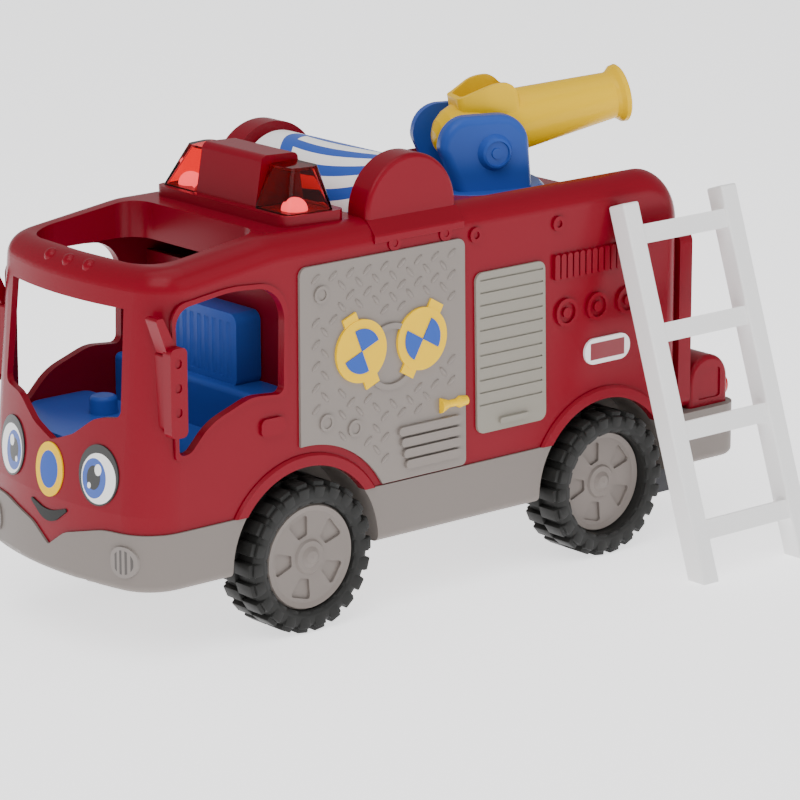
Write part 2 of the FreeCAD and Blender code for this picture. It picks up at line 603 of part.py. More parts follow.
def turned_x(profile, y, z):
    """Solid of revolution about an X axis at (y, z); profile holds (x, radius) points."""
    points = [V(x, y, z + radius) for x, radius in profile]
    face = Part.Face(Part.makePolygon(points + [points[0]]))
    return face.revolve(V(0, y, z), V(1, 0, 0), 360)


# ---- face on the nose ----
def ellipse_x(y, z, half_width, half_height, x0, x1):
    ellipse = Part.Ellipse(V(0, 0, 0), max(half_width, half_height), min(half_width, half_height))
    face = Part.Face(Part.Wire([ellipse.toShape()]))
    if half_height > half_width:
        face.rotate(V(0, 0, 0), V(0, 0, 1), 90)
    face.rotate(V(0, 0, 0), V(1, 1, 1), 120)
    face.translate(V(x0, y, z))
    return face.extrude(V(x1 - x0, 0, 0))


def make_face():
    """Thin pieces of a simple smiling face that follow the nose."""
    layer = hull(-0.5).cut(hull(0))
    nose_outer = ellipse_x(0, 58.8, 7.4, 9.0, 50, 90)
    nose_inner = ellipse_x(0, 58.8, 4.9, 6.2, 50, 90)
    save("nose_ring", layer.common(nose_outer.cut(nose_inner)))
    save("nose_disc", layer.common(nose_inner))
    eyes = []
    for side in (-1, 1):
        eyes.append(layer.common(ellipse_x(side * 24.0, 61.5, 8.6, 10.0, 50, 90)))
    save("eye_panels", *eyes)
    mouth = plate_x([(-12.5, 48.4, 0.6), (0, 39.4, 9), (12.5, 48.4, 0.6), (0, 44.6, 16)], 50, 90)
    save("mouth_panel", layer.common(mouth))


# ---- light bar, drum and its covers ----
def make_light_bar():
    """Two hollow lenses and the lamps inside them."""
    lens_base = [(-22.0, 16.3, 1.5), (-2.7, 16.3, 1.5), (-2.7, 34.4, 3), (-22.0, 36.0, 3)]
    lens_top = [(-20.4, 16.3, 1.5), (-9.2, 16.3, 1.5), (-9.2, 28.6, 3), (-20.4, 30.0, 3)]

    def frustum(drop, low, high):
        def inset(corners):
            middle_x = sum(corner[0] for corner in corners) / 4
            result = []
            for x, y, radius in corners:
                toward = drop if x < middle_x else -drop
                result.append((x + toward, y + (drop if y < 20 else -drop), max(radius - drop, 0.3)))
            return result

        lower = Part.Wire(rounded_edges(inset(lens_base)))
        lower.translate(V(0, 0, low))
        upper = Part.Wire(rounded_edges(inset(lens_top)))
        upper.translate(V(0, 0, high))
        return Part.makeLoft([lower, upper], True, True)

    lens = frustum(0, 138.0, 152.0).cut(frustum(1.3, 137.9, 150.7))
    save_pair("light_lens", lens)
    dome = Part.makeSphere(4.2, V(-10.8, 27.8, 138.0)).common(box(-30, 0, 0, 60, 138.0, 150))
    save_both("lamp_domes", [dome])


def make_drum():
    """Striped drum between two bolted covers."""
    bore = AXLE_RADIUS + AXLE_FIT
    profile = [(-30.6, bore), (-30.6, DRUM_RADIUS - 1.2), (-29.4, DRUM_RADIUS), (29.4, DRUM_RADIUS),
               (30.6, DRUM_RADIUS - 1.2), (30.6, bore)]
    drum = turned_y(profile, DRUM_X, DRUM_Z)
    chamber = turned_y([(-28.4, 5.0), (-28.4, DRUM_RADIUS - 2.2), (28.4, DRUM_RADIUS - 2.2), (28.4, 5.0)],
                       DRUM_X, DRUM_Z)
    save("drum", drum.cut(chamber))
    save("drum_axle", rod_y(DRUM_X, DRUM_Z, AXLE_RADIUS, -38.0, 38.0))
    beads = []
    for index in range(7):
        angle = math.radians(200 + 23.3 * index)
        beads.append(Part.makeSphere(2.6, V(DRUM_X + 11.0 * math.cos(angle), -18.0 + 6.0 * index,
                                            DRUM_Z + 11.0 * math.sin(angle))))
    save("drum_beads", *beads)
    cover = plate_y([(DRUM_X - EAR_RADIUS, DRUM_Z + EAR_RADIUS, EAR_RADIUS - 0.01),
                     (DRUM_X + EAR_RADIUS, DRUM_Z + EAR_RADIUS, EAR_RADIUS - 0.01),
                     (DRUM_X + EAR_RADIUS, ROOF_REAR_Z - 6.0, 0), (DRUM_X - EAR_RADIUS, ROOF_REAR_Z - 6.0, 0)],
                    EAR_INNER_Y, EAR_OUTER_Y)
    rim = [edge for edge in cover.Edges if abs(edge.BoundBox.YMin - EAR_OUTER_Y) < 0.01 and
           edge.BoundBox.ZMax > ROOF_REAR_Z and abs(edge.BoundBox.YMax - EAR_OUTER_Y) < 0.01]
    cover = cover.makeFillet(1.6, rim)
    cover = cover.cut(hull(0)).fuse(foot_of_cover())
    bearing = rod_y(DRUM_X, DRUM_Z, AXLE_RADIUS, EAR_INNER_Y - 1, 38.0)
    pocket = plate_y([(DRUM_X - 15, DRUM_Z + 15, 14.9), (DRUM_X + 15, DRUM_Z + 15, 14.9),
                      (DRUM_X + 15, ROOF_REAR_Z - 9.0, 0), (DRUM_X - 15, ROOF_REAR_Z - 9.0, 0)],
                     EAR_INNER_Y + 2.0, EAR_OUTER_Y - 2.4)
    post = rod_y(DRUM_X, DRUM_Z, 4.5, EAR_INNER_Y + 1.5, EAR_OUTER_Y - 1)
    cover = cover.cut(pocket).fuse(post).cut(bearing).cut(hull(0))
    cover = max(cover.Solids, key=lambda solid: solid.Volume)
    save_pair("drum_cover", cover)
    save_both("cover_screws", [rod_y(screw_x, SCREW_Z, 1.2, SIDE_Y, SIDE_Y + 0.3) for screw_x in SCREW_XS])


def foot_of_cover():
    """Lower part of a drum cover: it follows the roof's shoulder and ends in two screw tabs on the wall."""
    outline = [(EAR_INNER_Y, 133.0, 0), (EAR_OUTER_Y, 134.0, 0), (SIDE_Y + 0.6, 129.4, 1.5),
               (SIDE_Y + 0.6, 126.8, 0.2), (EAR_INNER_Y, 126.8, 0)]
    foot = plate_x(outline, DRUM_X - EAR_RADIUS, DRUM_X + EAR_RADIUS)
    for screw_x in SCREW_XS:
        foot = foot.fuse(rod_y(screw_x, SCREW_Z, 2.7, SIDE_Y - 1, SIDE_Y + 0.6))
        foot = foot.cut(rod_y(screw_x, SCREW_Z, 1.2, SIDE_Y - 2, SIDE_Y + 2))
    return foot.cut(hull(0))


# ---- cannon ----
def swivelled(solid):
    """Turn a piece modelled pointing straight back to the cannon's resting direction."""
    solid.rotate(V(TURNTABLE_X, 0, 0), V(0, 0, 1), -REST_SWIVEL)
    return solid


def make_cannon():
    """Turntable with its two cheeks, spindle, pivot pin and barrel."""
    top = TURNTABLE_TOP_Z
    pivot_x = TURNTABLE_X - PIVOT_REACH
    disc = turned_z([(0, BED_Z + 0.4), (TURNTABLE_RADIUS - 1, BED_Z + 0.4), (TURNTABLE_RADIUS, BED_Z + 1.4),
                     (TURNTABLE_RADIUS, top - 1.6), (TURNTABLE_RADIUS - 1.6, top), (0, top)],
                    TURNTABLE_X, 0)
    cheek = plate_y([(TURNTABLE_X + 9.5, top - 3, 0), (TURNTABLE_X + 17.6, 144.6, 6),
                     (TURNTABLE_X + 15.5, 155.6, 10), (TURNTABLE_X - 14.4, 155.6, 11),
                     (TURNTABLE_X - 16.8, top - 3, 0)], CHEEK_INNER_Y, CHEEK_OUTER_Y)
    cheek = cheek.makeFillet(3.0, [edge for edge in cheek.Edges if edge.BoundBox.YMin > CHEEK_OUTER_Y - 0.01
                                   and edge.BoundBox.ZMax > top])
    boss = turned_y([(CHEEK_OUTER_Y - 1, 0), (CHEEK_OUTER_Y - 1, 6.8), (CHEEK_OUTER_Y + 0.4, 6.2),
                     (CHEEK_OUTER_Y + 2.4, 5.2), (CHEEK_OUTER_Y + 2.8, 4.4), (CHEEK_OUTER_Y + 2.0, 4.2),
                     (CHEEK_OUTER_Y + 2.0, 2.0), (CHEEK_OUTER_Y + 2.5, 1.9), (CHEEK_OUTER_Y + 2.5, 0)],
                    pivot_x, PIVOT_Z)
    cheek = cheek.fuse(boss)
    bracket = disc.fuse([cheek, mirrored(cheek)]).removeSplitter()
    bracket = bracket.cut(rod_y(pivot_x, PIVOT_Z, PIN_RADIUS, -CHEEK_OUTER_Y, CHEEK_OUTER_Y))
    bracket = bracket.cut(rod_z(TURNTABLE_X, 0, SPINDLE_RADIUS + AXLE_FIT, 100, 140))
    save("cannon_bracket", swivelled(bracket))

    spindle = rod_z(TURNTABLE_X, 0, SPINDLE_RADIUS, BED_Z, top + 0.3)
    spindle = spindle.fuse(turned_z([(0, top + 0.3), (5.4, top + 0.3), (4.6, top + 1.5), (0, top + 1.5)],
                                    TURNTABLE_X, 0))
    slot = box(TURNTABLE_X - 3.5, TURNTABLE_X + 3.5, -0.5, 0.5, top + 0.9, top + 2)
    save("turntable_spindle", spindle.cut(slot).removeSplitter())
    save("cannon_pivot_pin", swivelled(rod_y(pivot_x, PIVOT_Z, PIN_RADIUS, -CHEEK_OUTER_Y + 0.1,
                                             CHEEK_OUTER_Y - 0.1)))
    save("cannon_barrel", swivelled(cannon_barrel(pivot_x)))


def turned_back(profile):
    """Solid of revolution about the barrel's axis; profile holds (distance towards the muzzle, radius)."""
    return turned_x([(-reach, radius) for reach, radius in profile], 0, 0)


def cannon_barrel(pivot_x):
    """Tapered barrel with a flared muzzle, an open hopper on top and two pivot ears."""
    axis_above_pivot = 4.9
    tube = turned_back([(-15.6, 0), (-15.1, 3.4), (-13.2, 6.6), (-10, 9.2), (-6, 10.7), (0, 11.3), (14, 11.1),
                        (51.5, 8.3), (52.8, 8.9), (54.2, 10.1), (55.6, 10.3), (56.1, 9.8), (56.1, 0)])
    bore = turned_back([(-12, 0), (-11, 4.6), (-7, 7.6), (0, 8.8), (14, 8.6), (50.5, 6.5), (53.5, 7.2),
                        (57, 9.0), (57, 0)])
    hopper = plate_z([(6.4, -6.0, 3), (6.4, 6.0, 3), (-4, 9.8, 12), (-15.6, 9.8, 3), (-15.6, -9.8, 3),
                      (-4, -9.8, 12)], 2.0, 17.2)
    hopper = hopper.common(plate_y([(12, -5, 0), (12, 12.4, 0), (4, 13.8, 6), (-6, 16.8, 16), (-12.6, 15.8, 5),
                                    (-16, 9.0, 3), (-21, -5, 0)], -20, 20))
    mouth = plate_z([(4.6, -4.6, 2), (4.6, 4.6, 2), (-4, 8.2, 10), (-14.0, 8.2, 2), (-14.0, -8.2, 2),
                     (-4, -8.2, 10)], 0.0, 40.0)
    barrel = tube.fuse(hopper).cut(bore).cut(mouth)
    ear = rod_y(0, -axis_above_pivot, 4.8, 8.6, CHEEK_INNER_Y - 0.4)
    barrel = barrel.fuse([ear, mirrored(ear)]).removeSplitter()
    barrel = barrel.cut(rod_y(0, -axis_above_pivot, PIN_RADIUS + AXLE_FIT, -14, 14))
    barrel.rotate(V(0, 0, -axis_above_pivot), V(0, 1, 0), CANNON_TILT)
    barrel.translate(V(pivot_x, 0, PIVOT_Z + axis_above_pivot))
    return barrel


# ---- wheels ----
def make_wheels():
    """Four wheels, each a tyre on a hub pressed on its axle's end, and the two axles."""
    for name, axle_x in (("front", 0.0), ("rear", -WHEELBASE)):
        save(name + "_axle", rod_y(axle_x, TYRE_RADIUS, AXLE_RADIUS, -43.0, 43.0))
        inner_y = TYRE_FACE - TYRE_WIDTH
        dish = 1.2 if name == "front" else 4.5
        tyre = turned_y([(inner_y, 18.9), (inner_y, 22.6), (inner_y + 2.2, 25.0), (inner_y + 4.0, TYRE_RADIUS),
                         (TYRE_FACE - 4.0, TYRE_RADIUS), (TYRE_FACE - 1.8, 25.0), (TYRE_FACE, 22.2),
                         (TYRE_FACE - 0.3, 18.9), (TYRE_FACE - 4, 18.0), (inner_y + 4, 18.0)],
                        axle_x, TYRE_RADIUS)
        grooves = []
        for index in range(TREAD_GROOVES):
            cutter = tread_groove(axle_x)
            cutter.rotate(V(axle_x, 0, TYRE_RADIUS), V(0, 1, 0), 360.0 * index / TREAD_GROOVES)
            grooves.append(cutter)
        tyre = tyre.cut(Part.makeCompound(grooves))
        face_y = TYRE_FACE - dish
        hub = turned_y([(inner_y + 4, 0), (inner_y + 4, 18.0), (face_y - 1.0, 18.0), (face_y, HUB_RADIUS),
                        (face_y - 0.6, 15.6), (face_y - 0.6, 6.0), (face_y + 0.2, 5.4), (face_y + 0.2, 3.6),
                        (face_y + 1.2, 2.2), (face_y + 1.5, 0)], axle_x, TYRE_RADIUS)
        for spoke in range(5):
            pocket = plate_y([(axle_x - 4.4, TYRE_RADIUS + 14.2, 1.0), (axle_x + 4.4, TYRE_RADIUS + 14.2, 1.0),
                              (axle_x + 1.9, TYRE_RADIUS + 7.4, 0.8), (axle_x - 1.9, TYRE_RADIUS + 7.4, 0.8)],
                             face_y - 1.6, face_y + 3)
            pocket.rotate(V(axle_x, 0, TYRE_RADIUS), V(0, 1, 0), 72.0 * spoke + 20)
            hub = hub.cut(pocket)
        back = turned_y([(inner_y - 1, 5.0), (inner_y - 1, 16.5), (face_y - 3.6, 16.5), (face_y - 3.6, 5.0)],
                        axle_x, TYRE_RADIUS)
        hub = hub.cut(back)
        hub = hub.cut(rod_y(axle_x, TYRE_RADIUS, AXLE_RADIUS, inner_y - 1, 43.0))
        save_pair(name + "_tyre", tyre)
        save_pair(name + "_hub", hub)


def tread_groove(axle_x):
    """Cutter for one zigzag groove across the tread."""
    middle = TYRE_FACE - TYRE_WIDTH / 2
    top = TYRE_RADIUS * 2 + 2
    near = box(axle_x - 0.8, axle_x + 0.8, middle + 0.5, TYRE_FACE + 1, top - 3.6, top)
    far = box(axle_x - 0.8, axle_x + 0.8, TYRE_FACE - TYRE_WIDTH - 1, middle - 0.5, top - 3.6, top)
    far.rotate(V(axle_x, 0, TYRE_RADIUS), V(0, 1, 0), 180.0 / TREAD_GROOVES)
    return near.fuse(far)


# ---- tail ----
def make_tail():
    """Ribbed rear panel, lamp pods on the bumper, valance and the fog lamps in the front skirt."""
    panel = plate_x(rounded_rect(-43.4, 43.4, 44.6, 109.6, 4.0), TAIL_X - 6.0, TAIL_X)
    for low in (52.0, 71.0, 90.0):
        panel = panel.cut(plate_x(rounded_rect(-34, 34, low, low + 14.0, 3.0), TAIL_X - 9, TAIL_X - 4.6))
    save("rear_panel", panel)
    pod = plate_y([(-197.4, SKIRT_TOP_Z, 0), (-197.4, 62.4, 9.4), (-178.2, 62.4, 9.4), (-178.2, SKIRT_TOP_Z, 0)],
                  22.0, 43.0)
    pod = pod.makeFillet(1.8, [edge for edge in pod.Edges if edge.BoundBox.YMin > 42.9 and
                               edge.BoundBox.ZMax > SKIRT_TOP_Z + 1])
    pod = pod.cut(plate_y(rounded_rect(-193.4, -182.4, 46.6, 57.4, 1.2), 42.4, 45))
    save_both("tail_pods", [pod])
    lamp = turned_x([(-197.4, 0), (-197.4, 4.8), (-199.0, 4.5), (-200.4, 3.2), (BUMPER_X, 0)], 37.0, 49.2)
    save_both("tail_lamps", [lamp])
    save("rear_valance", box(-176.0, -162.0, -41.0, 41.0, 15.0, SKIRT_BOTTOM_Z))
    lamp_ring = plate_x(rounded_rect(30.9, 40.5, 29.6, 40.0, 4.5), 50, 90)
    proud = plan_face(-SKIRT_PROUD - 0.7, SKIRT_BOTTOM_Z).extrude(V(0, 0, 30))
    flush = plan_face(-SKIRT_PROUD, SKIRT_BOTTOM_Z).extrude(V(0, 0, 30))
    save_both("fog_lamps", [lamp_ring.common(proud.cut(flush))])


# ---- ladder ----
def make_ladder():
    """Ladder with four rungs, leaning against the left side with its feet on the floor."""
    pieces = []
    for rail_x in (LADDER_LEFT_X, LADDER_RIGHT_X - RAIL_WIDTH):
        rail = box(rail_x, rail_x + RAIL_WIDTH, -RAIL_DEPTH, 0, -4, LADDER_LENGTH)
        pieces.append(rail.makeFillet(0.8, rail.Edges))
    for rung in range(4):
        rung_z = LADDER_LENGTH - 11.5 - RUNG_PITCH * rung
        bar = box(LADDER_LEFT_X + RAIL_WIDTH - 0.5, LADDER_RIGHT_X - RAIL_WIDTH + 0.5, -6.6, -1.2,
                  rung_z - 3.3, rung_z + 3.3)
        pieces.append(bar)
    ladder = pieces[0].fuse(pieces[1:]).removeSplitter()
    ladder.rotate(V(0, 0, 0), V(1, 0, 0), LADDER_LEAN)
    ladder.translate(V(0, LADDER_FOOT_Y, 0))
    ladder = ladder.cut(box(-230, 0, 60, 130, -10, 0.0))
    save("ladder", ladder)


if __name__ == "__main__":
    os.makedirs("parts", exist_ok=True)
    make_body()
    make_skirt()
    make_cab()
    make_electronics()
    make_side_panels()
    make_face()
    make_light_bar()
    make_drum()
    make_cannon()
    make_wheels()
    make_tail()
    make_ladder()
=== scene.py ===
import json
import math

import bpy
from bpy.props import FloatProperty, FloatVectorProperty, IntProperty, PointerProperty
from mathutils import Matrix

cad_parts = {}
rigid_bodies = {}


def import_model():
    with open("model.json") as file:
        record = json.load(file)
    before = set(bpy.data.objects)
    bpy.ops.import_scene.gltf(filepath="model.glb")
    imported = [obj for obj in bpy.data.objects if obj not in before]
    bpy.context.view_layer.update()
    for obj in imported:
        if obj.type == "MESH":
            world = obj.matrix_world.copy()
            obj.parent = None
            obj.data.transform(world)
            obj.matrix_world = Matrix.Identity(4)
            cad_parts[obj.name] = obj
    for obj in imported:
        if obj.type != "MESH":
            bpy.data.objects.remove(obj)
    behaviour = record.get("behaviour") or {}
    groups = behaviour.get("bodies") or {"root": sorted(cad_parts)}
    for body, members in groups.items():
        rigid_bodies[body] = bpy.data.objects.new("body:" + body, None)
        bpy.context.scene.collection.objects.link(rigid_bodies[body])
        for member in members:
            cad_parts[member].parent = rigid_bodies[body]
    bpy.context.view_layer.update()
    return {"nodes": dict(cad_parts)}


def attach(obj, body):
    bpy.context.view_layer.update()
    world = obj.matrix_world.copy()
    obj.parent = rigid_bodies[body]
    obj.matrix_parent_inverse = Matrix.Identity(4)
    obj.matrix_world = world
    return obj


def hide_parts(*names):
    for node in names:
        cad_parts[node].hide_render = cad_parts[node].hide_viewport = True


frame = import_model()

bl_info = {
    "name": "Toy fire engine",
    "version": (1, 0, 0),
    "blender": (4, 5, 0),
    "location": "View3D > Sidebar > Fire engine",
    "description": "Tyres, tread-plate studs, materials and stage for a toy fire engine",
    "category": "Object",
}

MM = 0.001
SHEEN = 0.15  # specular level of the plastics

# places in millimetres: x from the front axle, z from the floor
DRUM_X, DRUM_Z = -49.3, 134.6
DRUM_STRIPES = 12.0         # fanned stripes round the drum
DRUM_FAN = -600.0           # how strongly they fan, in turns a square metre
DRUM_STRIPE_SHARE = 0.48    # blue share of one stripe's pitch
BAND_Y, BAND_WAVE, BAND_HALF_WIDTH = -14.0, 4.0, 3.2
BADGE_X, BADGE_Z = 134.7, 74.2  # x behind the front axle
BADGE_HALF_LENGTH, BADGE_HALF_HEIGHT = 8.0, 3.0
FOG_LAMP_CENTRE, FOG_LAMP_RADII = (35.7, 34.8), (3.7, 4.1)
FOG_LAMP_BARS = 520.0       # bars a metre
FOG_LAMP_GAP_SHARE = 0.45   # dark share of one bar's pitch

# tread plate: its edges, its wheel arch, its lower rear corner and its round fittings (x, z, radius)
PLATE_LEFT, PLATE_RIGHT, PLATE_BOTTOM, PLATE_TOP = -66.6, -0.8, 47.4, 121.2
ARCH_Z, ARCH_RADIUS = 26.0, 39.6
VENT_CORNERS = ((-38.0, 64.5), (-54.5, 71.5))
PLATE_FITTINGS = ((-22.9, 92, 13.0), (-49.2, 92, 13.0), (-36, 88, 12.8), (-6.5, 113.5, 4.4),
                  (-8.5, 70, 4.4), (-20.5, 66, 4.4))


def length(name, description, millimetres):
    """A size property, stored in metres."""
    return FloatProperty(name=name, description=description, default=millimetres * MM, unit="LENGTH",
                         precision=5)


def colour(name, description, rgb):
    """A colour property."""
    return FloatVectorProperty(name=name, description=description, default=rgb, subtype="COLOR", size=3,
                               min=0.0, max=1.0)


class EngineSizes(bpy.types.PropertyGroup):
    """Sizes and places of the modelled pieces, in the part's frame."""

    centre_x: length("Front axle x", "Place of the front axle along the truck", 64.8)
    centre_y: length("Centre plane y", "Place of the truck's centre plane", -22.6)
    wheelbase: length("Wheelbase", "Distance between the axles", 133.8)
    tyre_radius: length("Tyre radius", "Radius over the lugs", 26.0)
    tyre_width: length("Tyre width", "Width of a tyre", 18.0)
    tyre_face: length("Tyre face", "Outer face of the tyres, from the centre plane", 49.2)
    rim_radius: length("Rim radius", "Inner radius of the tyre", 18.1)
    lug_height: length("Lug height", "How far the lugs stand out of the tyre", 1.9)
    lug_count: IntProperty(name="Lugs per side", description="Number of lugs round each shoulder",
                           default=22)
    plate_face: length("Plate face", "Face of the tread plate, from the centre plane", 46.4)
    stud_pitch: length("Stud pitch", "Spacing of the tread plate's studs", 7.3)
    stud_length: length("Stud length", "Length of one stud", 4.6)
    stud_width: length("Stud width", "Width of one stud", 1.5)
    stud_height: length("Stud height", "How far a stud stands out", 0.55)


class EngineColours(bpy.types.PropertyGroup):
    """Colours of the plastics."""

    red: colour("Red", "Body", (0.215, 0.003, 0.013))
    grey: colour("Warm grey", "Skirt and hubs", (0.215, 0.187, 0.17))
    plate: colour("Plate grey", "Tread plate", (0.24, 0.21, 0.19))
    shutter: colour("Shutter grey", "Roller shutter", (0.28, 0.26, 0.22))
    dark: colour("Dark grey", "Hidden frame parts", (0.05, 0.05, 0.055))
    black: colour("Black", "Tyres and pupils", (0.021, 0.021, 0.02))
    blue: colour("Blue", "Cab insert and turntable", (0.032, 0.092, 0.42))
    yellow: colour("Yellow", "Barrel and reels", (0.92, 0.56, 0.0))
    white: colour("White", "Ladder and lamps", (0.92, 0.915, 0.91))
    lens: colour("Lens red", "Light bar", (0.82, 0.06, 0.07))
    tail_lamp: colour("Tail lamp red", "Tail lamps", (0.55, 0.02, 0.015))
    steel: colour("Steel", "Axles and springs", (0.55, 0.55, 0.56))
    circuit: colour("Board green", "Circuit board", (0.03, 0.2, 0.08))
    floor: colour("Floor", "Stage", (0.92, 0.92, 0.93))


# ---- material helpers ----
def new_material(name):
    """An empty material with a principled shader; returns the material, its tree and the shader."""
    material = bpy.data.materials.new(name)
    material.use_nodes = True
    tree = material.node_tree
    return material, tree, tree.nodes["Principled BSDF"]


def object_axes(tree):
    """X, Y and Z sockets of the object coordinates."""
    coordinates = tree.nodes.new("ShaderNodeTexCoord")
    split = tree.nodes.new("ShaderNodeSeparateXYZ")
    tree.links.new(coordinates.outputs["Object"], split.inputs[0])
    return split.outputs[0], split.outputs[1], split.outputs[2]


def maths(tree, operation, first, second=0.0, third=0.0):
    """One maths node; each value is a number or a socket."""
    node = tree.nodes.new("ShaderNodeMath")
    node.operation = operation
    for index, value in enumerate((first, second, third)):
        if isinstance(value, (int, float)):
            node.inputs[index].default_value = value
        else:
            tree.links.new(value, node.inputs[index])
    return node.outputs[0]


def oval(tree, across, upward, centre, radii):
    """Mask that is 1 inside an ellipse."""
    u = maths(tree, "DIVIDE", maths(tree, "SUBTRACT", across, centre[0] * MM), radii[0] * MM)
    v = maths(tree, "DIVIDE", maths(tree, "SUBTRACT", upward, centre[1] * MM), radii[1] * MM)
    squared = maths(tree, "ADD", maths(tree, "MULTIPLY", u, u), maths(tree, "MULTIPLY", v, v))
    return maths(tree, "LESS_THAN", squared, 1.0)


def painted(tree, base, layers):
    """Colour socket: base colour overlaid by (mask, colour) layers in turn."""
    current = None
    for mask, rgb in layers:
        mix = tree.nodes.new("ShaderNodeMix")
        mix.data_type = "RGBA"
        tree.links.new(mask, mix.inputs["Factor"])
        if current is None:
            mix.inputs[6].default_value = (*base, 1.0)
        else:
            tree.links.new(current, mix.inputs[6])
        mix.inputs[7].default_value = (*rgb, 1.0)
        current = mix.outputs[2]
    return current


def grain(tree, shader, scale, strength):
    """Fine moulded-plastic grain."""
    coordinates = tree.nodes.new("ShaderNodeTexCoord")
    noise = tree.nodes.new("ShaderNodeTexNoise")
    noise.inputs["Scale"].default_value = scale
    noise.inputs["Detail"].default_value = 3.0
    bump = tree.nodes.new("ShaderNodeBump")
    bump.inputs["Strength"].default_value = strength
    bump.inputs["Distance"].default_value = 0.0002
    tree.links.new(coordinates.outputs["Object"], noise.inputs["Vector"])
    tree.links.new(noise.outputs["Fac"], bump.inputs["Height"])
    tree.links.new(bump.outputs["Normal"], shader.inputs["Normal"])


def plastic(name, rgb, roughness, coat=0.0, metallic=0.0, glow=0.0):
    """Plain moulded plastic, or metal when metallic is 1; glow lifts a white piece off the pale stage."""
    material, tree, shader = new_material(name)
    shader.inputs["Base Color"].default_value = (*rgb, 1.0)
    shader.inputs["Roughness"].default_value = roughness
    shader.inputs["Metallic"].default_value = metallic
    shader.inputs["Specular IOR Level"].default_value = SHEEN
    shader.inputs["Coat Weight"].default_value = coat
    shader.inputs["Coat Roughness"].default_value = 0.1
    shader.inputs["Emission Color"].default_value = (*rgb, 1.0)
    shader.inputs["Emission Strength"].default_value = glow
    grain(tree, shader, 900.0, 0.12)
    return material


def lens_material(colours):
    """Clear red plastic."""
    material, tree, shader = new_material("lens_red")
    shader.inputs["Base Color"].default_value = (*colours.lens, 1.0)
    shader.inputs["Roughness"].default_value = 0.03
    shader.inputs["IOR"].default_value = 1.2
    shader.inputs["Transmission Weight"].default_value = 1.0
    return material


def dome_material(colours):
    """White diffuser with a painted glow that stands in for its highlights, so it shows bright through the
    clear red lens.
    """
    material, _, shader = new_material("dome_white")
    shader.inputs["Base Color"].default_value = (*colours.white, 1.0)
    shader.inputs["Roughness"].default_value = 0.3
    # painted glow: emission stands in for the dome's highlights
    shader.inputs["Emission Color"].default_value = (*colours.white, 1.0)
    shader.inputs["Emission Strength"].default_value = 2.5
    return material


def drum_material(colours, sizes):
    """White plastic with narrow blue stripes that fan along the drum and a waved band round one end, brightened
    by a faint painted glow.
    """
    material, tree, shader = new_material("drum_stripes")
    x, y, z = object_axes(tree)
    across = maths(tree, "SUBTRACT", x, sizes.centre_x + DRUM_X * MM)
    upward = maths(tree, "SUBTRACT", z, DRUM_Z * MM)
    turn = maths(tree, "DIVIDE", maths(tree, "ARCTAN2", upward, across), 2 * math.pi)
    along = maths(tree, "SUBTRACT", y, sizes.centre_y)
    swirl = maths(tree, "MULTIPLY", maths(tree, "MULTIPLY", along, along), DRUM_FAN)
    fan = maths(tree, "FRACT", maths(tree, "ADD", maths(tree, "MULTIPLY", turn, DRUM_STRIPES), swirl))
    stripe = maths(tree, "LESS_THAN", fan, DRUM_STRIPE_SHARE)
    wave = maths(tree, "SINE", maths(tree, "MULTIPLY", turn, 6 * math.pi))
    band_middle = maths(tree, "MULTIPLY_ADD", wave, BAND_WAVE * MM, BAND_Y * MM)
    band_offset = maths(tree, "ABSOLUTE", maths(tree, "SUBTRACT", along, band_middle))
    band = maths(tree, "LESS_THAN", band_offset, BAND_HALF_WIDTH * MM)
    beyond = maths(tree, "LESS_THAN", along, band_middle)
    layers = [(stripe, colours.blue), (beyond, colours.white), (band, colours.blue)]
    print_colour = painted(tree, colours.white, layers)
    tree.links.new(print_colour, shader.inputs["Base Color"])
    # painted glow: the print also lights itself faintly, to brighten the drum
    tree.links.new(print_colour, shader.inputs["Emission Color"])
    shader.inputs["Emission Strength"].default_value = 0.2
    shader.inputs["Roughness"].default_value = 0.3
    shader.inputs["Specular IOR Level"].default_value = SHEEN
    return material


def eye_material(colours, sizes):
    """Simple round cartoon eyes: white, blue iris, black pupil, two highlights and a dark upper rim."""
    material, tree, shader = new_material("eyes")
    _, y, z = object_axes(tree)
    side = maths(tree, "ABSOLUTE", maths(tree, "SUBTRACT", y, sizes.centre_y))
    layers = [
        (oval(tree, side, z, (24.2, 60.4), (7.5, 8.3)), colours.white),
        (oval(tree, side, z, (22.4, 60.2), (5.2, 6.6)), colours.blue),
        (oval(tree, side, z, (22.2, 60.4), (3.0, 4.0)), colours.black),
        (oval(tree, side, z, (24.0, 63.2), (1.5, 1.9)), colours.white),
        (oval(tree, side, z, (20.4, 57.6), (0.8, 1.0)), colours.white),
    ]
    tree.links.new(painted(tree, colours.black, layers), shader.inputs["Base Color"])
    shader.inputs["Roughness"].default_value = 0.25
    return material


def badge_material(colours, sizes):
    """White badge with a plain red field."""
    material, tree, shader = new_material("badge")
    x, _, z = object_axes(tree)
    u = maths(tree, "ABSOLUTE", maths(tree, "SUBTRACT", x, sizes.centre_x - BADGE_X * MM))
    v = maths(tree, "ABSOLUTE", maths(tree, "SUBTRACT", z, BADGE_Z * MM))
    inside_length = maths(tree, "LESS_THAN", u, BADGE_HALF_LENGTH * MM)
    inside_height = maths(tree, "LESS_THAN", v, BADGE_HALF_HEIGHT * MM)
    field = maths(tree, "MULTIPLY", inside_length, inside_height)
    tree.links.new(painted(tree, colours.white, [(field, colours.red)]), shader.inputs["Base Color"])
    shader.inputs["Roughness"].default_value = 0.3
    return material


def floor_material(colours):
    """Pale matt floor with a faint glow of its own, so it stays near white."""
    material, _, shader = new_material("floor_white")
    shader.inputs["Base Color"].default_value = (*colours.floor, 1.0)
    shader.inputs["Roughness"].default_value = 0.9
    shader.inputs["Emission Color"].default_value = (*colours.floor, 1.0)
    shader.inputs["Emission Strength"].default_value = 1.5
    return material


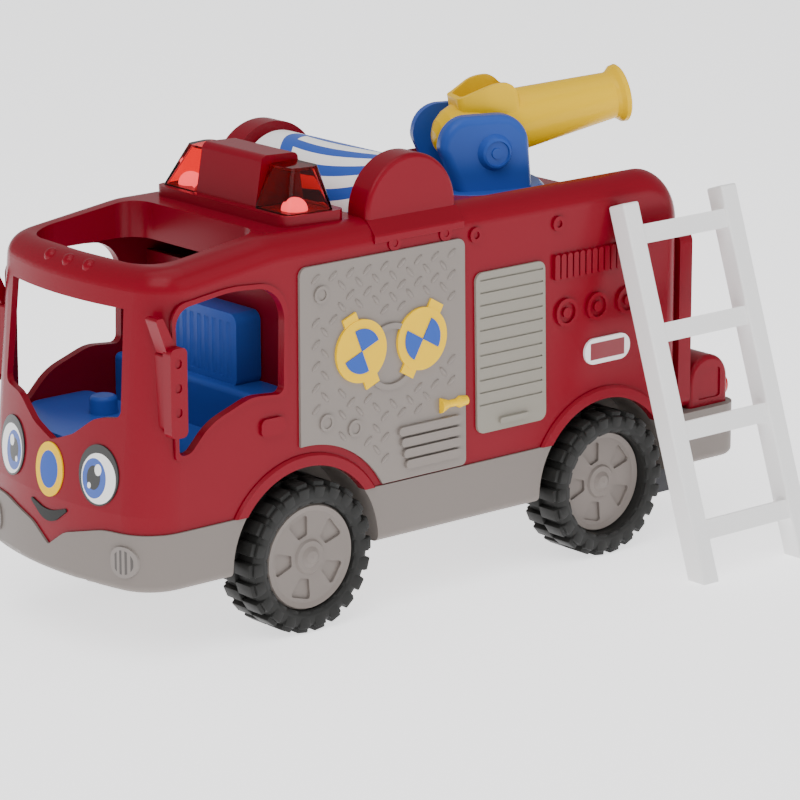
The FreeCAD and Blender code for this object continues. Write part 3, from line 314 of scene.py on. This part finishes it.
def fog_lamp_material(colours, sizes):
    """Grey lamp with upright bars; painted shade darkens the gaps between the bars."""
    material, tree, shader = new_material("fog_lamp_bars")
    _, y, z = object_axes(tree)
    side = maths(tree, "ABSOLUTE", maths(tree, "SUBTRACT", y, sizes.centre_y))
    inside = oval(tree, side, z, FOG_LAMP_CENTRE, FOG_LAMP_RADII)
    phase = maths(tree, "FRACT", maths(tree, "MULTIPLY", side, FOG_LAMP_BARS))
    gap = maths(tree, "MULTIPLY", inside, maths(tree, "LESS_THAN", phase, FOG_LAMP_GAP_SHARE))
    # painted shade: the gaps between the bars get a darker grey where shade falls in them
    painted_gap_shade = tuple(channel * 0.35 for channel in colours.grey)
    tree.links.new(painted(tree, colours.grey, [(gap, painted_gap_shade)]), shader.inputs["Base Color"])
    bump = tree.nodes.new("ShaderNodeBump")
    bump.inputs["Distance"].default_value = 0.0006
    tree.links.new(maths(tree, "SUBTRACT", 1.0, gap), bump.inputs["Height"])
    tree.links.new(bump.outputs["Normal"], shader.inputs["Normal"])
    shader.inputs["Roughness"].default_value = 0.4
    return material


def paint_node(name, material):
    """Give one CAD node a material."""
    mesh = frame["nodes"][name].data
    mesh.materials.clear()
    mesh.materials.append(material)


def both(name):
    """Names of a left-hand and a right-hand node."""
    return [name + "_left", name + "_right"]


# ---- modelling helpers ----
def start(make, **settings):
    """Add one primitive on its own and return it."""
    bpy.ops.object.select_all(action="DESELECT")
    make(**settings)
    return bpy.context.active_object


def edit(obj, mode="VERT"):
    """Edit one object with everything selected."""
    bpy.ops.object.select_all(action="DESELECT")
    bpy.context.view_layer.objects.active = obj
    obj.select_set(True)
    bpy.ops.object.mode_set(mode="EDIT")
    bpy.ops.mesh.select_mode(type=mode)
    bpy.ops.mesh.select_all(action="SELECT")


def done():
    """Leave edit mode."""
    bpy.ops.object.mode_set(mode="OBJECT")


def apply_transform(obj):
    """Write the object's place, turn and size into its mesh."""
    bpy.ops.object.select_all(action="DESELECT")
    bpy.context.view_layer.objects.active = obj
    obj.select_set(True)
    bpy.ops.object.transform_apply(location=True, rotation=True, scale=True)


def join(name, objects):
    """Join objects into one piece."""
    bpy.ops.object.select_all(action="DESELECT")
    for obj in objects:
        obj.select_set(True)
    bpy.context.view_layer.objects.active = objects[0]
    bpy.ops.object.join()
    objects[0].name = name
    return objects[0]


def copy_piece(obj, name):
    """A separate copy of a piece."""
    bpy.ops.object.select_all(action="DESELECT")
    bpy.context.view_layer.objects.active = obj
    obj.select_set(True)
    bpy.ops.object.duplicate(linked=False)
    bpy.context.active_object.name = name
    return bpy.context.active_object


def move_mesh(obj, offset):
    """Move the whole mesh and leave the object at the origin."""
    edit(obj)
    bpy.ops.transform.translate(value=offset)
    done()


def flip_mesh(obj, plane_y):
    """Mirror the whole mesh in a plane across Y."""
    edit(obj)
    bpy.ops.transform.resize(value=(1, -1, 1), center_override=(0, plane_y, 0))
    bpy.ops.mesh.flip_normals()
    done()


def repeat_round(obj, count, angle):
    """Repeat the object round the Y axis through the origin."""
    bpy.ops.object.empty_add(rotation=(0, angle, 0))
    turn = bpy.context.active_object
    array = obj.modifiers.new("round", "ARRAY")
    array.count = count
    array.use_relative_offset = False
    array.use_object_offset = True
    array.offset_object = turn
    bpy.context.view_layer.objects.active = obj
    bpy.ops.object.modifier_apply(modifier="round")
    bpy.data.objects.remove(turn)


def repeat_along(obj, count, offset):
    """Repeat the object along a straight line."""
    array = obj.modifiers.new("row", "ARRAY")
    array.count = count
    array.use_relative_offset = False
    array.use_constant_offset = True
    array.constant_offset_displace = offset
    bpy.context.view_layer.objects.active = obj
    bpy.ops.object.modifier_apply(modifier="row")


def block(size, place, turn=(0, 0, 0), bevel=0.0):
    """A rounded block."""
    obj = start(bpy.ops.mesh.primitive_cube_add, size=1.0)
    obj.scale = size
    apply_transform(obj)
    if bevel > 0:
        edit(obj, "EDGE")
        bpy.ops.mesh.bevel(offset=bevel, segments=2, affect="EDGES")
        done()
    obj.rotation_euler = turn
    obj.location = place
    apply_transform(obj)
    return obj


# ---- pieces ----
class ENGINE_OT_tyres(bpy.types.Operator):
    """Four tyres with chunky lugs"""

    bl_idname = "engine.tyres"
    bl_label = "Tyres"

    def carcass(self, sizes):
        """Smooth ring under the lugs, centred on the origin."""
        outer = sizes.tyre_radius - sizes.lug_height
        thickness = outer - sizes.rim_radius
        ring = start(bpy.ops.mesh.primitive_cube_add, size=1.0)
        ring.scale = (1, sizes.tyre_width - 0.4 * MM, thickness)
        ring.location = (0, 0, sizes.rim_radius + thickness / 2)
        apply_transform(ring)
        edit(ring, "FACE")
        bpy.ops.mesh.select_all(action="DESELECT")
        done()
        for face in ring.data.polygons:
            face.select = abs(face.normal.x) < 0.5 or face.normal.x < 0
        bpy.ops.object.mode_set(mode="EDIT")
        bpy.ops.mesh.delete(type="FACE")
        bpy.ops.mesh.select_all(action="SELECT")
        bpy.ops.transform.translate(value=(-0.5, 0, 0))
        bpy.ops.mesh.select_mode(type="VERT")
        bpy.ops.mesh.bevel(offset=2.1 * MM, segments=4, affect="VERTICES")
        bpy.ops.mesh.select_all(action="SELECT")
        bpy.ops.mesh.spin(steps=132, dupli=False, angle=2 * math.pi, center=(0, 0, 0), axis=(0, 1, 0))
        bpy.ops.mesh.select_all(action="SELECT")
        bpy.ops.mesh.remove_doubles(threshold=0.00001)
        done()
        return ring

    def execute(self, context):
        sizes = context.scene.engine_sizes
        parts = [self.carcass(sizes)]
        lug_top = sizes.tyre_radius - 0.12 * MM
        step = 2 * math.pi / sizes.lug_count
        for side in (-1, 1):
            turn = step / 2 if side > 0 else 0.0
            crown = block((4.5 * MM, 8.2 * MM, 3.6 * MM), (0, side * 4.0 * MM, lug_top - 1.8 * MM),
                          bevel=0.5 * MM)
            shoulder = block((4.5 * MM, 1.6 * MM, 6.0 * MM), (0, side * 8.1 * MM, lug_top - 4.6 * MM),
                             turn=(-side * 0.14, 0, 0), bevel=0.5 * MM)
            for lug in (crown, shoulder):
                lug.rotation_euler = (0, turn, 0)
                apply_transform(lug)
                repeat_round(lug, sizes.lug_count, step)
                parts.append(lug)
        tyre = join("tyre", parts)
        bpy.ops.object.shade_smooth_by_angle(angle=math.radians(35))
        tyre.data.materials.append(bpy.data.materials["tyre_black"])
        middle = sizes.tyre_face - sizes.tyre_width / 2
        for axle, axle_x in (("front", sizes.centre_x), ("rear", sizes.centre_x - sizes.wheelbase)):
            for hand, side in (("left", 1), ("right", -1)):
                piece = copy_piece(tyre, axle + "_tyre_lugged_" + hand)
                if side < 0:
                    flip_mesh(piece, 0.0)
                move_mesh(piece, (axle_x, sizes.centre_y + side * middle, sizes.tyre_radius))
                node = axle + "_tyre_" + hand
                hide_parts(node)
                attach(piece, axle + "_wheels")
        bpy.data.objects.remove(tyre)
        return {"FINISHED"}


class ENGINE_OT_tread_plates(bpy.types.Operator):
    """Raised studs on the tread-plate panels"""

    bl_idname = "engine.tread_plates"
    bl_label = "Tread plates"

    def blocked(self, x, z):
        """True where another fitting leaves no room for a stud (x from the front axle, z up, millimetres)."""
        if not (PLATE_LEFT <= x <= PLATE_RIGHT and PLATE_BOTTOM <= z <= PLATE_TOP):
            return True
        if math.hypot(x, z - ARCH_Z) < ARCH_RADIUS:
            return True
        if any(x < corner_x and z < corner_z for corner_x, corner_z in VENT_CORNERS):
            return True
        return any(math.hypot(x - fit_x, z - fit_z) < radius for fit_x, fit_z, radius in PLATE_FITTINGS)

    def execute(self, context):
        sizes = context.scene.engine_sizes
        rows = []
        for turn, shift in ((math.radians(40), 0.0), (math.radians(-50), 0.5)):
            stud = start(bpy.ops.mesh.primitive_uv_sphere_add, segments=10, ring_count=6, radius=0.5)
            stud.scale = (sizes.stud_length, 2 * sizes.stud_height, sizes.stud_width)
            stud.rotation_euler = (0, turn, 0)
            stud.location = (sizes.centre_x - 70 * MM + shift * sizes.stud_pitch,
                             sizes.centre_y + sizes.plate_face,
                             46 * MM + shift * sizes.stud_pitch)
            apply_transform(stud)
            repeat_along(stud, 11, (sizes.stud_pitch, 0, 0))
            repeat_along(stud, 12, (0, 0, sizes.stud_pitch))
            rows.append(stud)
        studs = join("tread_studs_left", rows)
        edit(studs)
        bpy.ops.mesh.select_all(action="DESELECT")
        done()
        for vertex in studs.data.vertices:
            vertex.select = self.blocked((vertex.co.x - sizes.centre_x) / MM, vertex.co.z / MM)
        bpy.ops.object.mode_set(mode="EDIT")
        bpy.ops.mesh.select_linked()
        bpy.ops.mesh.delete(type="VERT")
        done()
        bpy.ops.object.shade_smooth()
        studs.data.materials.append(bpy.data.materials["plate_grey"])
        other = copy_piece(studs, "tread_studs_right")
        flip_mesh(other, sizes.centre_y)
        for piece in (studs, other):
            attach(piece, "chassis")
        return {"FINISHED"}


class ENGINE_OT_finishes(bpy.types.Operator):
    """Materials of every CAD node"""

    bl_idname = "engine.finishes"
    bl_label = "Finishes"

    def execute(self, context):
        colours = context.scene.engine_colours
        sizes = context.scene.engine_sizes
        red = plastic("red_plastic", colours.red, 0.26)
        grey = plastic("grey_plastic", colours.grey, 0.42)
        dark = plastic("dark_plastic", colours.dark, 0.5)
        blue = plastic("blue_plastic", colours.blue, 0.26)
        yellow = plastic("yellow_plastic", colours.yellow, 0.26)
        white = plastic("white_plastic", colours.white, 0.3, glow=0.08)
        steel = plastic("steel", colours.steel, 0.3, metallic=1.0)
        black = plastic("tyre_black", colours.black, 0.42)
        plate = plastic("plate_grey", colours.plate, 0.3, coat=0.1)
        finishes = [
            (red, ["body_shell", "roof_shell", "rear_panel", "tail_pods"] + both("wing_mirror") +
             both("drum_cover") + ["cover_screws"]),
            (grey, ["skirt_chassis", "battery_cover"] + both("front_hub") + both("rear_hub")),
            (dark, ["speaker_bracket", "battery_box", "turntable_spindle", "rear_valance", "batteries"]),
            (blue, ["cab_interior", "driver_peg", "passenger_peg", "cannon_bracket", "cannon_pivot_pin",
                    "reel_quadrants", "nose_disc"]),
            (yellow, ["cannon_barrel", "hose_reel_discs", "hose_nozzles", "nose_ring", "drum_beads"]),
            (white, ["ladder"]),
            (dome_material(colours), ["lamp_domes"]),
            (steel, ["driver_peg_spring", "passenger_peg_spring", "battery_contacts", "drum_axle", "front_axle",
                     "rear_axle"]),
            (black, ["speaker", "mouth_panel"] + both("front_tyre") + both("rear_tyre")),
            (plate, both("tread_plate_panel")),
            (plastic("shutter_grey", colours.shutter, 0.4), both("roller_shutter")),
            (plastic("board_green", colours.circuit, 0.4), ["circuit_board"]),
            (lens_material(colours), both("light_lens")),
            (plastic("tail_lamp_red", colours.tail_lamp, 0.12, coat=0.4), ["tail_lamps"]),
            (drum_material(colours, sizes), ["drum"]),
            (eye_material(colours, sizes), ["eye_panels"]),
            (badge_material(colours, sizes), ["side_badges"]),
            (fog_lamp_material(colours, sizes), ["fog_lamps"]),
        ]
        for material, names in finishes:
            for name in names:
                paint_node(name, material)
        return {"FINISHED"}


class ENGINE_OT_stage(bpy.types.Operator):
    """Floor, lights and camera"""

    bl_idname = "engine.stage"
    bl_label = "Stage"

    def lamp(self, name, place, turn, size, power):
        """A soft square light."""
        angles = [math.radians(angle) for angle in turn]
        bpy.ops.object.light_add(type="AREA", location=place, rotation=angles)
        light = bpy.context.active_object
        light.name = name
        light.data.shape = "SQUARE"
        light.data.size = size
        light.data.energy = power

    def execute(self, context):
        colours = context.scene.engine_colours
        floor = start(bpy.ops.mesh.primitive_plane_add, size=8.0)
        floor.name = "floor"
        floor.data.materials.append(floor_material(colours))
        self.lamp("key_light", (0.7, 0.5, 1.1), (35, 0, 125), 0.9, 7.5)
        self.lamp("fill_light", (-0.4, 1.2, 0.8), (-50, 0, 15), 1.0, 2.8)
        self.lamp("top_light", (0.0, 0.0, 1.5), (0, 0, 0), 1.2, 5.5)
        world = bpy.data.worlds.new("studio")
        world.use_nodes = True
        world.node_tree.nodes["Background"].inputs["Color"].default_value = (1.0, 1.0, 1.0, 1.0)
        world.node_tree.nodes["Background"].inputs["Strength"].default_value = 0.48
        context.scene.world = world
        bpy.ops.object.camera_add(location=(0.84152, 0.99206, 0.41115),
                                  rotation=[math.radians(angle) for angle in (75.022, 0.111, 139.819)])
        camera = bpy.context.active_object
        camera.name = "camera"
        camera.data.lens = 177.2
        camera.data.sensor_width = 36.0
        context.scene.camera = camera
        return {"FINISHED"}


STEPS = (ENGINE_OT_finishes, ENGINE_OT_tyres, ENGINE_OT_tread_plates, ENGINE_OT_stage)


class ENGINE_PT_panel(bpy.types.Panel):
    """Buttons for every piece"""

    bl_idname = "ENGINE_PT_panel"
    bl_label = "Fire engine"
    bl_space_type = "VIEW_3D"
    bl_region_type = "UI"
    bl_category = "Fire engine"

    def draw(self, context):
        for step in STEPS:
            self.layout.operator(step.bl_idname)


CLASSES = (EngineSizes, EngineColours) + STEPS + (ENGINE_PT_panel,)


def register():
    for cls in CLASSES:
        bpy.utils.register_class(cls)
    bpy.types.Scene.engine_sizes = PointerProperty(type=EngineSizes)
    bpy.types.Scene.engine_colours = PointerProperty(type=EngineColours)


def unregister():
    del bpy.types.Scene.engine_colours
    del bpy.types.Scene.engine_sizes
    for cls in reversed(CLASSES):
        bpy.utils.unregister_class(cls)


def main():
    register()
    bpy.ops.engine.finishes()
    bpy.ops.engine.tyres()
    bpy.ops.engine.tread_plates()
    bpy.ops.engine.stage()


if __name__ == "__main__":
    main()
